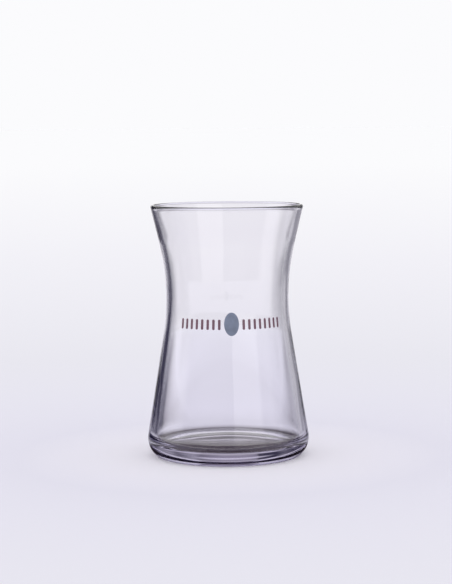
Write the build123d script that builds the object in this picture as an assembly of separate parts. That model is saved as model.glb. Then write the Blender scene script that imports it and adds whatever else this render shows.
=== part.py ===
from build123d import *

import os
from math import acos, atan2, cos, dist, sin, sqrt

# Turkish tea glass: one piece of clear glass, turned about +Z, standing on Z = 0. Millimetres.

# Outer shape
glass_height = 93.4
rim_diameter = 56.6
waist_diameter = 45.4
waist_height = 59.3
waist_curve_radius = 83.0
base_diameter = 60.2
widest_height = 6.6
heel_radius = 8.0
foot_edge_radius = 1.2

# Glass thickness
rim_wall = 1.5
waist_wall = 1.8
base_wall = 3.1
floor_thickness = 5.0
floor_corner_radius = 3.0

# Hollow under the base, which leaves a flat ring to stand on
foot_ring_width = 2.6
hollow_depth = 1.0


def common_tangent(center_a, offset_a, center_b, offset_b):
    """Touch points on two circles of the straight line that runs along both, given each centre's
    distance from that line, positive where the centre lies on the side away from the axis."""
    across = center_b[0] - center_a[0]
    rise = center_b[1] - center_a[1]
    spread = acos((offset_b - offset_a) / dist(center_a, center_b))
    lean = atan2(rise, across)
    normal_angle = lean - spread if rise > 0 else lean + spread
    normal = (cos(normal_angle), sin(normal_angle))
    touch_a = (center_a[0] - offset_a * normal[0], center_a[1] - offset_a * normal[1])
    touch_b = (center_b[0] - offset_b * normal[0], center_b[1] - offset_b * normal[1])
    return touch_a, touch_b


def arc_about(center, start, end):
    """The short arc from start to end round the given centre."""
    radius = dist(center, start)
    toward = ((start[0] + end[0]) / 2 - center[0], (start[1] + end[1]) / 2 - center[1])
    scale = radius / dist((0, 0), toward)
    middle = (center[0] + toward[0] * scale, center[1] + toward[1] * scale)
    return ThreePointArc(start, middle, end)


def wall_outline():
    """Half section of the glass, as one closed face on the plane of X and Z."""
    lip_radius = rim_wall / 2
    lip_center = (rim_diameter / 2 - lip_radius, glass_height - lip_radius)
    waist_center = (waist_diameter / 2 + waist_curve_radius, waist_height)
    heel_center = (base_diameter / 2 - heel_radius, widest_height)
    corner_center = (
        base_diameter / 2 - base_wall - floor_corner_radius,
        floor_thickness + floor_corner_radius,
    )

    outer_lip, outer_waist_top = common_tangent(
        lip_center, -lip_radius, waist_center, waist_curve_radius
    )
    outer_heel, outer_waist_bottom = common_tangent(
        heel_center, -heel_radius, waist_center, waist_curve_radius
    )
    inner_lip, inner_waist_top = common_tangent(
        lip_center, lip_radius, waist_center, waist_curve_radius + waist_wall
    )
    inner_corner, inner_waist_bottom = common_tangent(
        corner_center, -floor_corner_radius, waist_center, waist_curve_radius + waist_wall
    )

    # The foot edge is a small arc inside the heel arc, tangent to it and to the ground
    edge_drop = widest_height - foot_edge_radius
    edge_reach = heel_radius - foot_edge_radius
    edge_center = (heel_center[0] + sqrt(edge_reach**2 - edge_drop**2), foot_edge_radius)
    edge_stretch = heel_radius / edge_reach
    heel_bottom = (
        heel_center[0] + (edge_center[0] - heel_center[0]) * edge_stretch,
        heel_center[1] - edge_drop * edge_stretch,
    )

    foot_outer = (edge_center[0], 0)
    foot_inner = (edge_center[0] - foot_ring_width, 0)
    hollow_top = (0, hollow_depth)
    hollow_center = (0, (hollow_depth**2 - foot_inner[0] ** 2) / (2 * hollow_depth))
    floor_edge = (corner_center[0], floor_thickness)
    floor_middle = (0, floor_thickness)

    with BuildSketch(Plane.XZ) as outline:
        with BuildLine():
            arc_about(hollow_center, hollow_top, foot_inner)
            Line(foot_inner, foot_outer)
            arc_about(edge_center, foot_outer, heel_bottom)
            arc_about(heel_center, heel_bottom, outer_heel)
            Line(outer_heel, outer_waist_bottom)
            arc_about(waist_center, outer_waist_bottom, outer_waist_top)
            Line(outer_waist_top, outer_lip)
            ThreePointArc(outer_lip, (lip_center[0], glass_height), inner_lip)
            Line(inner_lip, inner_waist_top)
            arc_about(waist_center, inner_waist_top, inner_waist_bottom)
            Line(inner_waist_bottom, inner_corner)
            arc_about(corner_center, inner_corner, floor_edge)
            Line(floor_edge, floor_middle)
            Line(floor_middle, hollow_top)
        make_face()
    return outline.sketch


glass = revolve(wall_outline(), axis=Axis.Z)

os.makedirs("parts", exist_ok=True)
export_step(glass, "parts/glass.step")
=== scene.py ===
"""Turkish tea glass: the looks of one clear waisted glass, its fired print and a pale studio."""

import math

import bpy
from mathutils import Matrix, Vector


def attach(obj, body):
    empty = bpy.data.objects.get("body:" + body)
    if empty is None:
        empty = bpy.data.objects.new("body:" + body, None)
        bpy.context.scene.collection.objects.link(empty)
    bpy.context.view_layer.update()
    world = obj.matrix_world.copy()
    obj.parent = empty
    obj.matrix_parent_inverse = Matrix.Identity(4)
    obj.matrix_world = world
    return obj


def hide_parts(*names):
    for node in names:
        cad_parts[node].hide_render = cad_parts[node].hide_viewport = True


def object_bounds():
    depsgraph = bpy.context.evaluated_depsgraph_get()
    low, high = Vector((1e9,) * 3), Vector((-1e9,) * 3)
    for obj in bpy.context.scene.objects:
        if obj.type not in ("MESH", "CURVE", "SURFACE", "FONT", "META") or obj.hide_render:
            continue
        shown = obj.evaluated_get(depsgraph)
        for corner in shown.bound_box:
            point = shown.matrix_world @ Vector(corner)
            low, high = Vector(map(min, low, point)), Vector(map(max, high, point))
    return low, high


bl_info = {
    "name": "Turkish tea glass",
    "version": (1, 0, 0),
    "blender": (4, 5, 0),
    "location": "3D View > Sidebar > Tea Glass",
    "description": "Builds a clear waisted tea glass with a fired print, and a pale studio round it",
    "category": "Object",
}

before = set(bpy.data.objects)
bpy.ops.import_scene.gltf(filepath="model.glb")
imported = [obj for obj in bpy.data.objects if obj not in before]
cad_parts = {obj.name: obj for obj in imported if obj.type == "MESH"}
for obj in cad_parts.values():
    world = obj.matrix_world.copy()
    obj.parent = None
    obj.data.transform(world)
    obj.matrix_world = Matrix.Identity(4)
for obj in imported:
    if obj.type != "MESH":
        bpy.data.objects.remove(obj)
CAD_LOW, CAD_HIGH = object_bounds()
MM = 0.001


class TeaGlassSizes(bpy.types.PropertyGroup):
    """Sizes of the glass, in metres"""

    height: bpy.props.FloatProperty(
        name="Height",
        description="From the standing ring to the top of the rim",
        default=CAD_HIGH.z - CAD_LOW.z,
        unit="LENGTH",
    )
    base_diameter: bpy.props.FloatProperty(
        name="Base diameter",
        description="Across the widest part, just above the heel",
        default=CAD_HIGH.x - CAD_LOW.x,
        unit="LENGTH",
    )
    rim_diameter: bpy.props.FloatProperty(
        name="Rim diameter",
        description="Across the outside of the rim",
        default=56.6 * MM,
        unit="LENGTH",
    )
    waist_diameter: bpy.props.FloatProperty(
        name="Waist diameter",
        description="Across the narrowest part",
        default=45.4 * MM,
        unit="LENGTH",
    )
    waist_height: bpy.props.FloatProperty(
        name="Waist height",
        description="Height of the narrowest part",
        default=59.3 * MM,
        unit="LENGTH",
    )
    waist_curve: bpy.props.FloatProperty(
        name="Waist curve",
        description="Radius of the hollow curve that joins the two cones",
        default=83.0 * MM,
        unit="LENGTH",
    )
    widest_height: bpy.props.FloatProperty(
        name="Widest height",
        description="Height of the widest part",
        default=6.6 * MM,
        unit="LENGTH",
    )
    heel_radius: bpy.props.FloatProperty(
        name="Heel radius",
        description="Rounding of the heel under the widest part",
        default=8.0 * MM,
        unit="LENGTH",
    )
    foot_edge: bpy.props.FloatProperty(
        name="Foot edge",
        description="Small rounding where the heel meets the ground",
        default=1.2 * MM,
        unit="LENGTH",
    )
    rim_wall: bpy.props.FloatProperty(
        name="Rim wall",
        description="Thickness of the glass at the rim",
        default=1.5 * MM,
        unit="LENGTH",
    )
    waist_wall: bpy.props.FloatProperty(
        name="Waist wall",
        description="Thickness of the glass at the waist",
        default=1.8 * MM,
        unit="LENGTH",
    )
    base_wall: bpy.props.FloatProperty(
        name="Base wall",
        description="Thickness of the wall just above the floor",
        default=3.1 * MM,
        unit="LENGTH",
    )
    floor_thickness: bpy.props.FloatProperty(
        name="Floor thickness",
        description="Height of the inside floor above the ground",
        default=5.0 * MM,
        unit="LENGTH",
    )
    floor_corner: bpy.props.FloatProperty(
        name="Floor corner",
        description="Rounding between the inside floor and the wall",
        default=3.0 * MM,
        unit="LENGTH",
    )
    foot_ring: bpy.props.FloatProperty(
        name="Foot ring",
        description="Width of the flat ring the glass stands on",
        default=2.6 * MM,
        unit="LENGTH",
    )
    hollow_depth: bpy.props.FloatProperty(
        name="Hollow depth",
        description="Depth of the shallow hollow under the base",
        default=1.0 * MM,
        unit="LENGTH",
    )
    steps_round: bpy.props.IntProperty(
        name="Steps round",
        description="Number of faces round the glass",
        default=256,
        min=32,
    )


class TeaGlassFinish(bpy.types.PropertyGroup):
    """Finish of the clear glass and of the print"""

    refraction: bpy.props.FloatProperty(
        name="Refraction",
        description="Index of refraction of soda-lime glass",
        default=1.52,
    )
    tint: bpy.props.FloatVectorProperty(
        name="Tint",
        description="Colour that thick glass turns",
        default=(0.64, 0.60, 0.755),
        subtype="COLOR",
    )
    tint_density: bpy.props.FloatProperty(
        name="Tint density",
        description="How fast the tint builds up with depth, per metre",
        default=30.0,
    )


class TeaGlassPrint(bpy.types.PropertyGroup):
    """Band of plain marks fired on the front of the glass"""

    turn: bpy.props.FloatProperty(
        name="Turn",
        description="Angle of the middle of the band from the front, to the right",
        default=math.radians(3.5),
        subtype="ANGLE",
    )
    height: bpy.props.FloatProperty(
        name="Height",
        description="Height of the middle of the band",
        default=51.0 * MM,
        unit="LENGTH",
    )
    oval_width: bpy.props.FloatProperty(
        name="Oval width",
        description="Width of the plain oval in the middle",
        default=5.4 * MM,
        unit="LENGTH",
    )
    oval_height: bpy.props.FloatProperty(
        name="Oval height",
        description="Height of the plain oval in the middle",
        default=8.4 * MM,
        unit="LENGTH",
    )
    stroke_width: bpy.props.FloatProperty(
        name="Stroke width",
        description="Width of one upright stroke",
        default=0.95 * MM,
        unit="LENGTH",
    )
    stroke_height: bpy.props.FloatProperty(
        name="Stroke height",
        description="Height of one upright stroke",
        default=3.8 * MM,
        unit="LENGTH",
    )
    stroke_gap: bpy.props.FloatProperty(
        name="Stroke spacing",
        description="Angle from one stroke to the next",
        default=math.radians(5.3),
        subtype="ANGLE",
    )
    first_stroke: bpy.props.FloatProperty(
        name="First stroke",
        description="Angle from the middle of the band to the nearest stroke",
        default=math.radians(11.0),
        subtype="ANGLE",
    )
    strokes: bpy.props.IntProperty(
        name="Strokes",
        description="Number of strokes each side of the oval",
        default=8,
        min=1,
    )
    red: bpy.props.FloatVectorProperty(
        name="Red enamel",
        description="Colour of the strokes",
        default=(0.17, 0.09, 0.12),
        subtype="COLOR",
    )
    blue: bpy.props.FloatVectorProperty(
        name="Blue enamel",
        description="Colour of the oval",
        default=(0.18, 0.21, 0.29),
        subtype="COLOR",
    )


class TeaGlassStage(bpy.types.PropertyGroup):
    """Camera of the stage"""

    camera_distance: bpy.props.FloatProperty(
        name="Camera distance",
        description="From the axis of the glass to the camera, along the ground",
        default=0.6865,
        unit="LENGTH",
    )
    camera_height: bpy.props.FloatProperty(
        name="Camera height",
        description="Height of the camera above the ground",
        default=0.1228,
        unit="LENGTH",
    )
    camera_side: bpy.props.FloatProperty(
        name="Camera side step",
        description="How far the camera stands to the right of the glass",
        default=-0.0005,
        unit="LENGTH",
    )
    camera_pitch: bpy.props.FloatProperty(
        name="Camera pitch",
        description="How far the camera looks down",
        default=math.radians(5.16),
        subtype="ANGLE",
    )
    camera_roll: bpy.props.FloatProperty(
        name="Camera roll",
        description="How far the camera leans",
        default=math.radians(-0.45),
        subtype="ANGLE",
    )
    camera_lens: bpy.props.FloatProperty(
        name="Camera lens",
        description="Focal length, in millimetres",
        default=114.26,
    )


# ---------------------------------------------------------------- shape of the glass

def common_tangent(center_a, offset_a, center_b, offset_b):
    """Touch points on two circles of the straight line that runs along both, given each centre's
    distance from that line, positive where the centre lies on the side away from the axis."""
    across = center_b[0] - center_a[0]
    rise = center_b[1] - center_a[1]
    spread = math.acos((offset_b - offset_a) / math.dist(center_a, center_b))
    lean = math.atan2(rise, across)
    angle = lean - spread if rise > 0 else lean + spread
    normal = (math.cos(angle), math.sin(angle))
    touch_a = (center_a[0] - offset_a * normal[0], center_a[1] - offset_a * normal[1])
    touch_b = (center_b[0] - offset_b * normal[0], center_b[1] - offset_b * normal[1])
    return touch_a, touch_b


def line_points(start, end, spacing):
    """Points from start towards end, without the end itself."""
    count = max(1, round(math.dist(start, end) / spacing))
    return [
        (start[0] + (end[0] - start[0]) * i / count, start[1] + (end[1] - start[1]) * i / count)
        for i in range(count)
    ]


def arc_points(center, start, end, count, turn):
    """Points from start towards end round the centre, without the end itself.
    turn is +1 for anticlockwise and -1 for clockwise."""
    radius = math.dist(center, start)
    first = math.atan2(start[1] - center[1], start[0] - center[0])
    last = math.atan2(end[1] - center[1], end[0] - center[0])
    sweep = ((last - first) * turn) % (2 * math.pi) * turn
    return [
        (
            center[0] + radius * math.cos(first + sweep * i / count),
            center[1] + radius * math.sin(first + sweep * i / count),
        )
        for i in range(count)
    ]


def glass_outline(s):
    """Half section of the glass, from the hollow under the base, up the outside, over the rim and
    down the inside to the middle of the floor."""
    lip_radius = s.rim_wall / 2
    lip_center = (s.rim_diameter / 2 - lip_radius, s.height - lip_radius)
    waist_center = (s.waist_diameter / 2 + s.waist_curve, s.waist_height)
    inner_curve = s.waist_curve + s.waist_wall
    heel_center = (s.base_diameter / 2 - s.heel_radius, s.widest_height)
    corner_center = (
        s.base_diameter / 2 - s.base_wall - s.floor_corner,
        s.floor_thickness + s.floor_corner,
    )
    outer_lip, outer_top = common_tangent(lip_center, -lip_radius, waist_center, s.waist_curve)
    outer_heel, outer_low = common_tangent(
        heel_center, -s.heel_radius, waist_center, s.waist_curve
    )
    inner_lip, inner_top = common_tangent(lip_center, lip_radius, waist_center, inner_curve)
    inner_corner, inner_low = common_tangent(
        corner_center, -s.floor_corner, waist_center, inner_curve
    )

    edge_drop = s.widest_height - s.foot_edge
    edge_reach = s.heel_radius - s.foot_edge
    edge_center = (heel_center[0] + math.sqrt(edge_reach**2 - edge_drop**2), s.foot_edge)
    edge_stretch = s.heel_radius / edge_reach
    heel_bottom = (
        heel_center[0] + (edge_center[0] - heel_center[0]) * edge_stretch,
        heel_center[1] - edge_drop * edge_stretch,
    )
    foot_outer = (edge_center[0], 0.0)
    foot_inner = (edge_center[0] - s.foot_ring, 0.0)
    hollow_top = (0.0, s.hollow_depth)
    hollow_center = (
        0.0,
        (s.hollow_depth**2 - foot_inner[0] ** 2) / (2 * s.hollow_depth),
    )
    floor_edge = (corner_center[0], s.floor_thickness)

    wall_step = 1.2 * MM
    points = arc_points(hollow_center, hollow_top, foot_inner, 18, -1)
    points += line_points(foot_inner, foot_outer, wall_step)
    points += arc_points(edge_center, foot_outer, heel_bottom, 6, 1)
    points += arc_points(heel_center, heel_bottom, outer_heel, 20, 1)
    points += line_points(outer_heel, outer_low, wall_step)
    points += arc_points(waist_center, outer_low, outer_top, 28, -1)
    points += line_points(outer_top, outer_lip, wall_step)
    points += arc_points(lip_center, outer_lip, inner_lip, 14, 1)
    points += line_points(inner_lip, inner_top, wall_step)
    points += arc_points(waist_center, inner_top, inner_low, 28, 1)
    points += line_points(inner_low, inner_corner, wall_step)
    points += arc_points(corner_center, inner_corner, floor_edge, 10, -1)
    points += line_points(floor_edge, (0.0, s.floor_thickness), wall_step)
    points.append((0.0, s.floor_thickness))
    return points


def outer_radius(s, height):
    """Outside radius of the glass between the heel and the rim, at one height."""
    waist_center = (s.waist_diameter / 2 + s.waist_curve, s.waist_height)
    heel_center = (s.base_diameter / 2 - s.heel_radius, s.widest_height)
    low, joint = common_tangent(heel_center, -s.heel_radius, waist_center, s.waist_curve)
    if height < joint[1]:
        share = (height - low[1]) / (joint[1] - low[1])
        return low[0] + (joint[0] - low[0]) * share
    return waist_center[0] - math.sqrt(s.waist_curve**2 - (height - s.waist_height) ** 2)


def turned_mesh(name, outline, steps):
    """A closed mesh made by turning the outline once round +Z; its ends lie on the axis."""
    vertices = [(0.0, 0.0, outline[0][1])]
    for radius, height in outline[1:-1]:
        for i in range(steps):
            angle = 2 * math.pi * i / steps
            vertices.append((radius * math.cos(angle), radius * math.sin(angle), height))
    vertices.append((0.0, 0.0, outline[-1][1]))
    rings = len(outline) - 2
    faces = []
    for i in range(steps):
        after = (i + 1) % steps
        faces.append((0, 1 + after, 1 + i))
        for ring in range(rings - 1):
            low = 1 + ring * steps
            high = low + steps
            faces.append((low + i, low + after, high + after, high + i))
        last = 1 + (rings - 1) * steps
        faces.append((last + i, last + after, len(vertices) - 1))
    mesh = bpy.data.meshes.new(name)
    mesh.from_pydata(vertices, [], faces)
    mesh.validate()
    mesh.shade_smooth()
    return mesh


# How far the inner and outer face of the enamel stand off the glass
ENAMEL_LIFTS = (0.01 * MM, 0.04 * MM)
# How far the oval sits above the middle of the band, and its height at the ends as a share
OVAL_RAISE = 0.2 * MM
OVAL_TIP = 0.05


def fired_patch(s, middle, height, half_length, half_height):
    """Vertices and faces of a thin closed patch of enamel on the outside of the glass. middle is
    its angle from the front, and half_height gives its half height at a share of half_length."""
    columns = 16
    rows = 12
    vertices = []
    for lift in ENAMEL_LIFTS:
        for i in range(columns + 1):
            share = -math.cos(math.pi * i / columns)
            for j in range(rows + 1):
                z = height + half_height(share) * (2 * j / rows - 1)
                radius = outer_radius(s, z)
                angle = middle + share * half_length / radius
                radius += lift
                vertices.append((radius * math.sin(angle), -radius * math.cos(angle), z))
    sheet = (columns + 1) * (rows + 1)
    faces = []
    for i in range(columns):
        for j in range(rows):
            a = i * (rows + 1) + j
            b = a + rows + 1
            faces.append((a, a + 1, b + 1, b))
            faces.append((sheet + a, sheet + b, sheet + b + 1, sheet + a + 1))
    edge = [i * (rows + 1) for i in range(columns)]
    edge += [columns * (rows + 1) + j for j in range(rows)]
    edge += [i * (rows + 1) + rows for i in range(columns, 0, -1)]
    edge += list(range(rows, 0, -1))
    for k, a in enumerate(edge):
        b = edge[(k + 1) % len(edge)]
        faces.append((a, b, sheet + b, sheet + a))
    return vertices, faces


def patches_mesh(name, patches):
    """One mesh of several enamel patches."""
    vertices = []
    faces = []
    for patch_vertices, patch_faces in patches:
        start = len(vertices)
        vertices += patch_vertices
        faces += [tuple(start + corner for corner in face) for face in patch_faces]
    mesh = bpy.data.meshes.new(name)
    mesh.from_pydata(vertices, [], faces)
    mesh.validate()
    return mesh


# ---------------------------------------------------------------- nodes


def add_node(tree, kind, column, row, **settings):
    """A new shader node at a grid place, with its properties and plain input values set."""
    node = tree.nodes.new(kind)
    node.location = (column * 200, -row * 220)
    for key, value in settings.items():
        if key.startswith("in_"):
            name = key[3:].replace("_", " ")
            sockets = {socket.name.lower(): socket for socket in reversed(node.inputs)}
            sockets[name].default_value = value
        else:
            setattr(node, key, value)
    return node


def math_node(tree, operation, column, row, *values):
    """A Math node whose inputs are sockets to link or plain numbers."""
    node = add_node(tree, "ShaderNodeMath", column, row, operation=operation)
    for i, value in enumerate(values):
        if isinstance(value, bpy.types.NodeSocket):
            tree.links.new(value, node.inputs[i])
        else:
            node.inputs[i].default_value = value
    return node.outputs[0]


def ramp_node(tree, column, row, stops):
    """A colour ramp with the given (position, colour) stops."""
    ramp = add_node(tree, "ShaderNodeValToRGB", column, row)
    elements = ramp.color_ramp.elements
    while len(elements) > 1:
        elements.remove(elements[-1])
    elements[0].position = stops[0][0]
    elements[0].color = (*stops[0][1], 1)
    for position, colour in stops[1:]:
        elements.new(position).color = (*colour, 1)
    return ramp


def ring_node(tree, column, row, share, stops):
    """A grey ramp looked up by the share of a full turn."""
    ramp = ramp_node(tree, column, row, [(degree / 360, (v, v, v)) for degree, v in stops])
    tree.links.new(share, ramp.inputs["Fac"])
    return ramp.outputs["Color"]


def blend_node(tree, column, row, factor, low, high):
    """A colour mix from low to high; each is a socket or a plain colour."""
    node = add_node(tree, "ShaderNodeMix", column, row, data_type="RGBA")
    tree.links.new(factor, node.inputs["Factor"])
    for value, name in ((low, "A"), (high, "B")):
        if isinstance(value, bpy.types.NodeSocket):
            tree.links.new(value, node.inputs[name])
        else:
            node.inputs[name].default_value = (*value, 1)
    return node.outputs["Result"]


def step_node(tree, column, row, value, low, high):
    """0 at low, 1 at high, with a straight rise between and level beyond; low may be the larger."""
    node = add_node(
        tree, "ShaderNodeMapRange", column, row, in_from_min=low, in_from_max=high, in_to_max=1.0
    )
    tree.links.new(value, node.inputs["Value"])
    return node.outputs["Result"]


def window_node(tree, column, row, value, low, high, soft):
    """1 between low and high and 0 outside, with soft edges."""
    rise = step_node(tree, column, row, value, low, low + soft)
    fall = step_node(tree, column, row + 1, value, high, high - soft)
    return math_node(tree, "MULTIPLY", column + 1, row, rise, fall)


def scale_node(tree, column, row, colour, factor):
    """A colour times a number."""
    node = add_node(tree, "ShaderNodeVectorMath", column, row, operation="SCALE")
    tree.links.new(colour, node.inputs[0])
    tree.links.new(factor, node.inputs["Scale"])
    return node.outputs["Vector"]


def distance_node(tree, column, row, place, middle, squeeze):
    """Level distance of a place from a middle point, with its X part multiplied by squeeze."""
    moved = add_node(tree, "ShaderNodeVectorMath", column, row, operation="SUBTRACT")
    moved.inputs[1].default_value = middle
    scaled = add_node(tree, "ShaderNodeVectorMath", column + 1, row, operation="MULTIPLY")
    scaled.inputs[1].default_value = (squeeze, 1.0, 0.0)
    length = add_node(tree, "ShaderNodeVectorMath", column + 2, row, operation="LENGTH")
    tree.links.new(place, moved.inputs[0])
    tree.links.new(moved.outputs["Vector"], scaled.inputs[0])
    tree.links.new(scaled.outputs["Vector"], length.inputs[0])
    return length.outputs["Value"]


def new_material(name):
    """An empty node material with its output node."""
    material = bpy.data.materials.new(name)
    material.use_nodes = True
    material.node_tree.nodes.clear()
    output = add_node(material.node_tree, "ShaderNodeOutputMaterial", 6, 0)
    return material, material.node_tree, output


def clear_glass_material(finish):
    """Clear pressed glass: a barely uneven polish over a faint tint that shows in thick places."""
    material, tree, output = new_material("clear_glass")
    shader = add_node(
        tree,
        "ShaderNodeBsdfPrincipled",
        4,
        0,
        in_base_color=(1, 1, 1, 1),
        in_metallic=0.0,
        in_ior=finish.refraction,
        in_transmission_weight=1.0,
    )
    place = add_node(tree, "ShaderNodeTexCoord", 0, 0)
    polish = add_node(tree, "ShaderNodeTexNoise", 1, 0, in_scale=90.0, in_detail=3.0)
    rough = add_node(
        tree, "ShaderNodeMapRange", 2, 0, in_to_min=0.0, in_to_max=0.02, in_from_min=0.35
    )
    ripple = add_node(tree, "ShaderNodeTexNoise", 1, 1, in_scale=45.0, in_detail=1.0)
    bump = add_node(tree, "ShaderNodeBump", 2, 1, in_strength=0.02, in_distance=0.01)
    depth = add_node(
        tree,
        "ShaderNodeVolumeAbsorption",
        4,
        3,
        in_color=(*finish.tint, 1),
        in_density=finish.tint_density,
    )
    link = tree.links.new
    link(place.outputs["Object"], polish.inputs["Vector"])
    link(place.outputs["Object"], ripple.inputs["Vector"])
    link(polish.outputs["Fac"], rough.inputs["Value"])
    link(rough.outputs["Result"], shader.inputs["Roughness"])
    link(ripple.outputs["Fac"], bump.inputs["Height"])
    link(bump.outputs["Normal"], shader.inputs["Normal"])
    link(shader.outputs["BSDF"], output.inputs["Surface"])
    link(depth.outputs["Volume"], output.inputs["Volume"])
    return material


def enamel_group():
    """Node group: fired enamel, with a faintly mottled colour and a slightly uneven gloss."""
    group = bpy.data.node_groups.new("fired_enamel", "ShaderNodeTree")
    group.interface.new_socket("Colour", in_out="INPUT", socket_type="NodeSocketColor")
    group.interface.new_socket("Colour", in_out="OUTPUT", socket_type="NodeSocketColor")
    group.interface.new_socket("Roughness", in_out="OUTPUT", socket_type="NodeSocketFloat")
    group.interface.new_socket("Height", in_out="OUTPUT", socket_type="NodeSocketFloat")
    inlet = add_node(group, "NodeGroupInput", 0, 0)
    outlet = add_node(group, "NodeGroupOutput", 5, 0)
    place = add_node(group, "ShaderNodeTexCoord", 0, 1)
    cloud = add_node(group, "ShaderNodeTexNoise", 1, 1, in_scale=420.0, in_detail=2.0)
    grain = add_node(group, "ShaderNodeTexNoise", 1, 2, in_scale=2600.0, in_detail=2.0)
    link = group.links.new
    link(place.outputs["Object"], cloud.inputs["Vector"])
    link(place.outputs["Object"], grain.inputs["Vector"])
    spots = step_node(group, 2, 1, cloud.outputs["Fac"], 0.3, 0.7)
    shade = math_node(group, "MULTIPLY_ADD", 3, 1, spots, 0.30, 0.85)
    link(scale_node(group, 4, 0, inlet.outputs["Colour"], shade), outlet.inputs["Colour"])
    gloss = math_node(group, "MULTIPLY_ADD", 3, 2, grain.outputs["Fac"], 0.20, 0.22)
    link(gloss, outlet.inputs["Roughness"])
    link(grain.outputs["Fac"], outlet.inputs["Height"])
    return group


def enamel_material(name, group, colour):
    """Fired enamel of one colour."""
    material, tree, output = new_material(name)
    enamel = add_node(tree, "ShaderNodeGroup", 1, 0, node_tree=group, in_colour=(*colour, 1))
    bump = add_node(tree, "ShaderNodeBump", 2, 1, in_strength=0.15, in_distance=0.0001)
    shader = add_node(tree, "ShaderNodeBsdfPrincipled", 4, 0, in_metallic=0.0, in_ior=1.5)
    link = tree.links.new
    link(enamel.outputs["Colour"], shader.inputs["Base Color"])
    link(enamel.outputs["Roughness"], shader.inputs["Roughness"])
    link(enamel.outputs["Height"], bump.inputs["Height"])
    link(bump.outputs["Normal"], shader.inputs["Normal"])
    link(shader.outputs["BSDF"], output.inputs["Surface"])
    return material


# ---------------------------------------------------------------- stage

# How bright the surroundings are in reflections and through the glass, by the angle in degrees
# from +X round the glass. Pale screens stand behind the glass and to its left, a dimmer one stands
# behind it to the right, and dark cards between them give the glass its dark edges from the front
LEFT_SCREEN = (
    (152, 0.0),
    (162, 0.85),
    (170, 1.0),
    (192, 1.0),
    (203, 0.3),
    (345, 0.3),
    (352, 0.0),
)
LEVEL_RING = (
    (28, 0.0),
    (33, 0.6),
    (55, 0.6),
    (63, 0.08),
    (80, 0.9),
    (86, 1.0),
    (103, 1.0),
    (107, 0.78),
    (115, 0.05),
    (120, 0.0),
    *LEFT_SCREEN,
)
LOW_RING = (
    (30, 0.0),
    (40, 0.37),
    (54, 0.37),
    (60, 0.2),
    (67, 0.37),
    (74, 0.5),
    (88, 1.0),
    (98, 1.0),
    (104, 0.8),
    (105.5, 0.08),
    (110, 0.0),
    (117, 0.0),
    (121, 0.15),
    (125, 0.15),
    (130, 0.0),
    *LEFT_SCREEN,
)
STEEP_RING = (
    (14, 0.0),
    (20, 1.0),
    (118, 1.0),
    (124, 0.7),
    (130, 1.0),
    (150, 1.0),
    (154, 0.5),
    (160, 0.5),
    (166, 1.0),
    (194, 1.0),
    (200, 0.3),
    (345, 0.3),
    (352, 0.0),
)
# Where one ring gives way to the next, by the sine of the angle above or below level
LEVEL_TO_LOW = (0.125, 0.15)
LOW_TO_STEEP = (0.225, 0.28)
# Tone that the screen behind the glass is multiplied by, by the same sine: plain near level, then
# grey and dark bands with two paler ones
SCREEN_HEIGHTS = (
    (0.125, (1.0, 1.0, 1.0)),
    (0.142, (0.50, 0.48, 0.51)),
    (0.200, (0.50, 0.48, 0.51)),
    (0.240, (0.64, 0.64, 0.63)),
    (0.262, (0.82, 0.82, 0.79)),
    (0.30, (0.82, 0.82, 0.79)),
    (0.34, (0.16, 0.13, 0.17)),
    (0.44, (0.16, 0.13, 0.17)),
    (0.48, (0.50, 0.48, 0.51)),
    (0.54, (0.50, 0.48, 0.51)),
    (0.60, (0.16, 0.13, 0.17)),
    (0.70, (0.16, 0.13, 0.17)),
    (0.80, (0.90, 0.90, 0.90)),
    (0.90, (0.90, 0.90, 0.90)),
    (0.92, (0.50, 0.45, 0.50)),
)
# Sides of that screen and the width of their soft edges, in degrees
SCREEN_SIDES = (72.0, 108.0)
SCREEN_SOFTNESS = 4.0
# Lightest and darkest tone of the rings, and the tone straight above and below, with the sines
# between which it takes over
PALE = (1.0, 0.99, 1.0)
DARK = (0.05, 0.047, 0.08)
CEILING = (0.12, 0.09, 0.125)
CEILING_START = (0.92, 0.94)
# Pale panel to the front right: its sides and their soft edges in degrees, and the sine of the
# angle above or below level where it ends
SIDE_PANEL = (278.0, 324.0)
PANEL_SOFTNESS = 0.3
PANEL_END = 0.5

# Display colours of the floor by the distance from the middle of the glass in metres, and of the
# world behind. The paler first tone, at the foot of the glass, is painted light that offsets the
# glass's shadow on the floor. The ramp is stretched so that FLOOR_HALFWAY falls in its middle
FLOOR_TONES_AND_PAINTED_LIGHT = (
    (0.03, (248, 245, 255)),
    (0.08, (231, 229, 242)),
    (0.30, (233, 232, 240)),
    (1.00, (242, 241, 247)),
    (5.00, (251, 251, 253)),
)
FAR_TONE = (251, 251, 253)
FLOOR_HALFWAY = 0.6
FLOOR_RADIUS = 60.0
FLOOR_SIDES = 64
FLOOR_DROP = 0.05 * MM
# Painted glow that the floor shows in reflections and through the glass in place of its lit sheet,
# by the distance in metres from the middle of a painted shadow under and in front of the glass's
# foot, up to NEAR_REACH. PALER_PATCH_IN_PAINTED_SHADOW is a paler patch inside that painted shadow
PAINTED_GLOW_AND_SHADOW = (
    (0.0, (0.045, 0.032, 0.046)),
    (0.039, (0.05, 0.038, 0.055)),
    (0.044, (0.50, 0.48, 0.57)),
    (0.050, (0.74, 0.72, 0.84)),
    (0.110, (0.82, 0.80, 0.93)),
    (0.450, (0.87, 0.86, 0.95)),
)
NEAR_REACH = 0.5
# Middle of the painted shadow at the glass's foot
PAINTED_SHADOW_MIDDLE = (0.0, -0.010, 0.0)
PALER_PATCH_IN_PAINTED_SHADOW = (0.38, 0.355, 0.44)
PATCH_MIDDLE = (-0.00165, 0.011, 0.0)
PATCH_SQUEEZE = 0.55
PATCH_EDGE = (0.0100, 0.0050)
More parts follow.
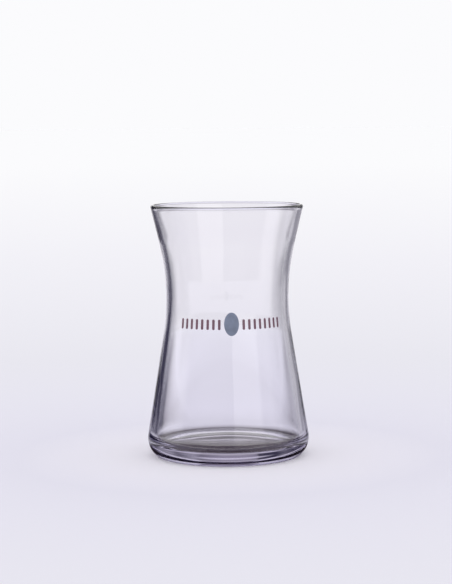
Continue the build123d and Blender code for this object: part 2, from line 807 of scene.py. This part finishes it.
# Lane behind the glass that keeps the painted glow, in metres, with LANE_SPREAD as the metres that
# each side widens per metre back. The floor beside and past the lane is a mirror
LANE_MIDDLE = 0.004
LANE_HALF_WIDTH = 0.023
LANE_SPREAD = 0.22
LANE_EDGE = (0.016, -0.012)
LANE_START = (0.05, 0.08)
LANE_END = (0.38, 0.46)
MIRROR_START = (-0.02, 0.02)


def linear(byte_colour):
    """Linear colour of a display colour given as bytes."""
    shares = [value / 255 for value in byte_colour]
    return [s / 12.92 if s <= 0.04045 else ((s + 0.055) / 1.055) ** 2.4 for s in shares]


def backdrop_group():
    """Node group: tone of the surroundings in a direction."""
    group = bpy.data.node_groups.new("surroundings", "ShaderNodeTree")
    group.interface.new_socket("Direction", in_out="INPUT", socket_type="NodeSocketVector")
    group.interface.new_socket("Tone", in_out="OUTPUT", socket_type="NodeSocketColor")
    inlet = add_node(group, "NodeGroupInput", 0, 0)
    outlet = add_node(group, "NodeGroupOutput", 14, 0)
    split = add_node(group, "ShaderNodeSeparateXYZ", 1, 0)
    group.links.new(inlet.outputs["Direction"], split.inputs["Vector"])
    angle = math_node(group, "ARCTAN2", 2, 0, split.outputs["Y"], split.outputs["X"])
    turned = math_node(group, "DEGREES", 3, 0, angle)
    degrees = math_node(group, "WRAP", 4, 0, turned, 360.0, 0.0)
    share = math_node(group, "DIVIDE", 5, 0, degrees, 360.0)
    rise = math_node(group, "ABSOLUTE", 2, 2, split.outputs["Z"])

    level = ring_node(group, 6, 0, share, LEVEL_RING)
    low = ring_node(group, 6, 1, share, LOW_RING)
    steep = ring_node(group, 6, 2, share, STEEP_RING)
    ring = blend_node(group, 7, 0, step_node(group, 5, 3, rise, *LEVEL_TO_LOW), level, low)
    ring = blend_node(group, 8, 0, step_node(group, 5, 4, rise, *LOW_TO_STEEP), ring, steep)
    tone = blend_node(group, 9, 0, ring, DARK, PALE)

    heights = ramp_node(group, 6, 5, SCREEN_HEIGHTS)
    group.links.new(rise, heights.inputs["Fac"])
    behind = window_node(group, 6, 6, degrees, *SCREEN_SIDES, SCREEN_SOFTNESS)
    screen = blend_node(group, 8, 5, behind, (1.0, 1.0, 1.0), heights.outputs["Color"])
    screened = add_node(group, "ShaderNodeVectorMath", 10, 0, operation="MULTIPLY")
    group.links.new(tone, screened.inputs[0])
    group.links.new(screen, screened.inputs[1])

    overhead = step_node(group, 5, 9, rise, *CEILING_START)
    tone = blend_node(group, 11, 0, overhead, screened.outputs["Vector"], CEILING)
    in_panel = window_node(group, 6, 10, degrees, *SIDE_PANEL, PANEL_SOFTNESS)
    below = math_node(group, "LESS_THAN", 6, 12, rise, PANEL_END)
    panel = math_node(group, "MULTIPLY", 8, 10, in_panel, below)
    tone = blend_node(group, 12, 0, panel, tone, PALE)
    group.links.new(tone, outlet.inputs["Tone"])
    return group


def sharp_ray(tree, column, row):
    """1 for what the viewer sees by reflection or through glass, else 0."""
    path = add_node(tree, "ShaderNodeLightPath", column, row)
    bent = math_node(
        tree,
        "MAXIMUM",
        column + 1,
        row,
        path.outputs["Is Glossy Ray"],
        path.outputs["Is Transmission Ray"],
    )
    clean = math_node(tree, "LESS_THAN", column + 1, row + 1, path.outputs["Diffuse Depth"], 0.5)
    return math_node(tree, "MULTIPLY", column + 2, row, bent, clean)


def floor_tone_and_painted_light(tree, reach):
    """Colour of the floor sheet at a distance from the glass, with painted light at the glass's
    foot.
    """
    past = math_node(tree, "ADD", 1, 1, reach, FLOOR_HALFWAY)
    stops = [(radius / (radius + FLOOR_HALFWAY), linear(tone)) for radius, tone in FLOOR_TONES_AND_PAINTED_LIGHT]
    ramp = ramp_node(tree, 3, 0, stops)
    tree.links.new(math_node(tree, "DIVIDE", 2, 0, reach, past), ramp.inputs["Fac"])
    return ramp.outputs["Color"]


def painted_glow_and_shadow(tree, place):
    """Colour of the floor's painted glow, with a painted shadow round the glass's foot and a paler
    patch in it.
    """
    stops = [(radius / NEAR_REACH, colour) for radius, colour in PAINTED_GLOW_AND_SHADOW]
    ramp = ramp_node(tree, 3, 2, stops)
    from_painted_shadow = distance_node(tree, 1, 6, place, PAINTED_SHADOW_MIDDLE, 1.0)
    tree.links.new(math_node(tree, "DIVIDE", 2, 2, from_painted_shadow, NEAR_REACH), ramp.inputs["Fac"])
    from_patch = distance_node(tree, 1, 8, place, PATCH_MIDDLE, PATCH_SQUEEZE)
    patch = step_node(tree, 3, 8, from_patch, *PATCH_EDGE)
    return blend_node(tree, 4, 8, patch, ramp.outputs["Color"], PALER_PATCH_IN_PAINTED_SHADOW)


def mirror_share(tree, x, y, reach):
    """1 where the floor is a mirror, and 0 in front of the glass, at its foot and in the lane."""
    aside = math_node(tree, "ABSOLUTE", 2, 2, math_node(tree, "SUBTRACT", 1, 2, x, LANE_MIDDLE))
    beside = math_node(tree, "SUBTRACT", 2, 3, aside, LANE_HALF_WIDTH)
    spread = math_node(tree, "MULTIPLY", 2, 4, y, LANE_SPREAD)
    inside = math_node(tree, "SUBTRACT", 3, 3, spread, beside)
    outside = step_node(tree, 4, 3, inside, *LANE_EDGE)
    off_foot = step_node(tree, 4, 4, reach, *LANE_START)
    side = math_node(tree, "MULTIPLY", 5, 3, outside, off_foot)
    clear = math_node(tree, "MAXIMUM", 5, 4, side, step_node(tree, 3, 1, reach, *LANE_END))
    behind = step_node(tree, 4, 5, y, *MIRROR_START)
    return math_node(tree, "MULTIPLY", 6, 4, clear, behind)


def floor_material():
    """Pale sheet, a little deeper in tone round the glass but paler at its foot, where painted light
    offsets the glass's shadow. Reflections and the glass show a painted glow in its place, with a
    painted shadow round the glass's foot, and behind the glass, beside and past a lane, a mirror of
    the surroundings."""
    material, tree, output = new_material("pale_floor")
    sheet = add_node(tree, "ShaderNodeBsdfDiffuse", 4, 0)
    mirror = add_node(tree, "ShaderNodeBsdfGlossy", 4, 1, in_roughness=0.0)
    # Painted glow, dark with painted shadow at the glass's foot, in place of the lit sheet in
    # reflections and through the glass
    glow = add_node(tree, "ShaderNodeEmission", 4, 2)
    bent = add_node(tree, "ShaderNodeMixShader", 5, 2)
    both = add_node(tree, "ShaderNodeMixShader", 5, 0)
    place = add_node(tree, "ShaderNodeNewGeometry", 0, 0).outputs["Position"]
    length = add_node(tree, "ShaderNodeVectorMath", 1, 0, operation="LENGTH")
    split = add_node(tree, "ShaderNodeSeparateXYZ", 1, 3)
    reach = length.outputs["Value"]
    link = tree.links.new
    link(place, length.inputs[0])
    link(place, split.inputs["Vector"])
    # Floor colour, with painted light at the glass's foot that offsets its shadow
    tone = floor_tone_and_painted_light(tree, reach)
    link(tone, sheet.inputs["Color"])
    link(tone, mirror.inputs["Color"])
    link(painted_glow_and_shadow(tree, place), glow.inputs["Color"])
    link(mirror_share(tree, split.outputs["X"], split.outputs["Y"], reach), bent.inputs["Fac"])
    link(glow.outputs["Emission"], bent.inputs[1])
    link(mirror.outputs["BSDF"], bent.inputs[2])
    link(sharp_ray(tree, 2, 3), both.inputs["Fac"])
    link(sheet.outputs["BSDF"], both.inputs[1])
    link(bent.outputs["Shader"], both.inputs[2])
    link(both.outputs["Shader"], output.inputs["Surface"])
    return material


def studio_world(group):
    """Even white light. The camera sees the far tone instead, and reflections and the glass see
    the surroundings."""
    world = bpy.data.worlds.new("pale_studio")
    world.use_nodes = True
    tree = world.node_tree
    tree.nodes.clear()
    output = add_node(tree, "ShaderNodeOutputWorld", 9, 0)
    sky = add_node(tree, "ShaderNodeBackground", 8, 0, in_strength=1.0)
    place = add_node(tree, "ShaderNodeTexCoord", 0, 0)
    ring = add_node(tree, "ShaderNodeGroup", 1, 0, node_tree=group)
    path = add_node(tree, "ShaderNodeLightPath", 4, 3)
    in_view = path.outputs["Is Camera Ray"]
    plain = blend_node(tree, 6, 1, in_view, (1.0, 1.0, 1.0), linear(FAR_TONE))
    shown = blend_node(tree, 7, 0, sharp_ray(tree, 4, 4), plain, ring.outputs["Tone"])
    tree.links.new(place.outputs["Generated"], ring.inputs["Direction"])
    tree.links.new(shown, sky.inputs["Color"])
    tree.links.new(sky.outputs["Background"], output.inputs["Surface"])
    return world


class TEAGLASS_OT_glass(bpy.types.Operator):
    """Turns the clear glass and lets it stand for the plain one"""

    bl_idname = "teaglass.glass"
    bl_label = "Tea glass"

    def execute(self, context):
        sizes = context.scene.tea_glass_sizes
        mesh = turned_mesh("tea_glass", glass_outline(sizes), sizes.steps_round)
        mesh.materials.append(clear_glass_material(context.scene.tea_glass_finish))
        glass = bpy.data.objects.new("tea_glass", mesh)
        context.scene.collection.objects.link(glass)
        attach(glass, "root")
        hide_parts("glass")
        return {"FINISHED"}


class TEAGLASS_OT_print(bpy.types.Operator):
    """Fires the plain oval and the rows of strokes on the front of the glass"""

    bl_idname = "teaglass.print"
    bl_label = "Fired print"

    def execute(self, context):
        sizes = context.scene.tea_glass_sizes
        marks = context.scene.tea_glass_print
        group = enamel_group()
        oval = fired_patch(
            sizes,
            marks.turn,
            marks.height + OVAL_RAISE,
            marks.oval_width / 2,
            lambda share: marks.oval_height / 2 * max(OVAL_TIP, math.sqrt(max(0.0, 1 - share**2))),
        )
        rows = []
        for side in (-1, 1):
            for i in range(marks.strokes):
                angle = marks.turn + side * (marks.first_stroke + i * marks.stroke_gap)
                rows.append(
                    fired_patch(
                        sizes,
                        angle,
                        marks.height,
                        marks.stroke_width / 2,
                        lambda share: marks.stroke_height / 2
                        - marks.stroke_width / 2 * (1 - math.sqrt(max(0.0, 1 - share**2))),
                    )
                )
        blue = enamel_material("blue_enamel", group, marks.blue)
        red = enamel_material("red_enamel", group, marks.red)
        for name, patches, material, slot in (
            ("print_oval", [oval], blue, "enamel_blue"),
            ("print_strokes", rows, red, "enamel_red"),
        ):
            mesh = patches_mesh(name, patches)
            mesh.materials.append(material)
            piece = bpy.data.objects.new(name, mesh)
            context.scene.collection.objects.link(piece)
            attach(piece, "root")
        return {"FINISHED"}


class TEAGLASS_OT_stage(bpy.types.Operator):
    """Adds the pale floor, the surroundings and the camera"""

    bl_idname = "teaglass.stage"
    bl_label = "Studio"

    def execute(self, context):
        scene = context.scene
        stage = scene.tea_glass_stage
        group = backdrop_group()

        mesh = bpy.data.meshes.new("floor")
        turns = [2 * math.pi * i / FLOOR_SIDES for i in range(FLOOR_SIDES)]
        edge = [(FLOOR_RADIUS * math.cos(t), FLOOR_RADIUS * math.sin(t), 0) for t in turns]
        mesh.from_pydata(edge, [], [tuple(range(FLOOR_SIDES))])
        mesh.materials.append(floor_material())
        floor = bpy.data.objects.new("floor", mesh)
        floor.location.z = -FLOOR_DROP
        scene.collection.objects.link(floor)
        scene.world = studio_world(group)

        data = bpy.data.cameras.new("camera")
        data.lens = stage.camera_lens
        data.sensor_width = 36.0
        data.clip_start = 0.01
        data.clip_end = 100.0
        camera = bpy.data.objects.new("camera", data)
        turn = Matrix.Rotation(math.pi / 2 - stage.camera_pitch, 4, "X")
        lean = Matrix.Rotation(stage.camera_roll, 4, "Z")
        place = Vector((stage.camera_side, -stage.camera_distance, stage.camera_height))
        camera.matrix_world = Matrix.Translation(place) @ turn @ lean
        scene.collection.objects.link(camera)
        scene.camera = camera

        scene.view_settings.view_transform = "Standard"
        scene.cycles.max_bounces = 32
        scene.cycles.transmission_bounces = 32
        scene.cycles.glossy_bounces = 16
        return {"FINISHED"}


class TEAGLASS_PT_panel(bpy.types.Panel):
    """Lists the pieces of the tea glass"""

    bl_label = "Tea Glass"
    bl_idname = "TEAGLASS_PT_panel"
    bl_space_type = "VIEW_3D"
    bl_region_type = "UI"
    bl_category = "Tea Glass"

    def draw(self, context):
        for step in STEPS:
            self.layout.operator(step.bl_idname)


STEPS = (TEAGLASS_OT_glass, TEAGLASS_OT_print, TEAGLASS_OT_stage)
CLASSES = (
    TeaGlassSizes,
    TeaGlassFinish,
    TeaGlassPrint,
    TeaGlassStage,
    *STEPS,
    TEAGLASS_PT_panel,
)


def register():
    for item in CLASSES:
        bpy.utils.register_class(item)
    bpy.types.Scene.tea_glass_sizes = bpy.props.PointerProperty(type=TeaGlassSizes)
    bpy.types.Scene.tea_glass_finish = bpy.props.PointerProperty(type=TeaGlassFinish)
    bpy.types.Scene.tea_glass_print = bpy.props.PointerProperty(type=TeaGlassPrint)
    bpy.types.Scene.tea_glass_stage = bpy.props.PointerProperty(type=TeaGlassStage)


def unregister():
    del bpy.types.Scene.tea_glass_stage
    del bpy.types.Scene.tea_glass_print
    del bpy.types.Scene.tea_glass_finish
    del bpy.types.Scene.tea_glass_sizes
    for item in reversed(CLASSES):
        bpy.utils.unregister_class(item)


def main():
    register()
    bpy.ops.teaglass.glass()
    bpy.ops.teaglass.print()
    bpy.ops.teaglass.stage()


if __name__ == "__main__":
    main()
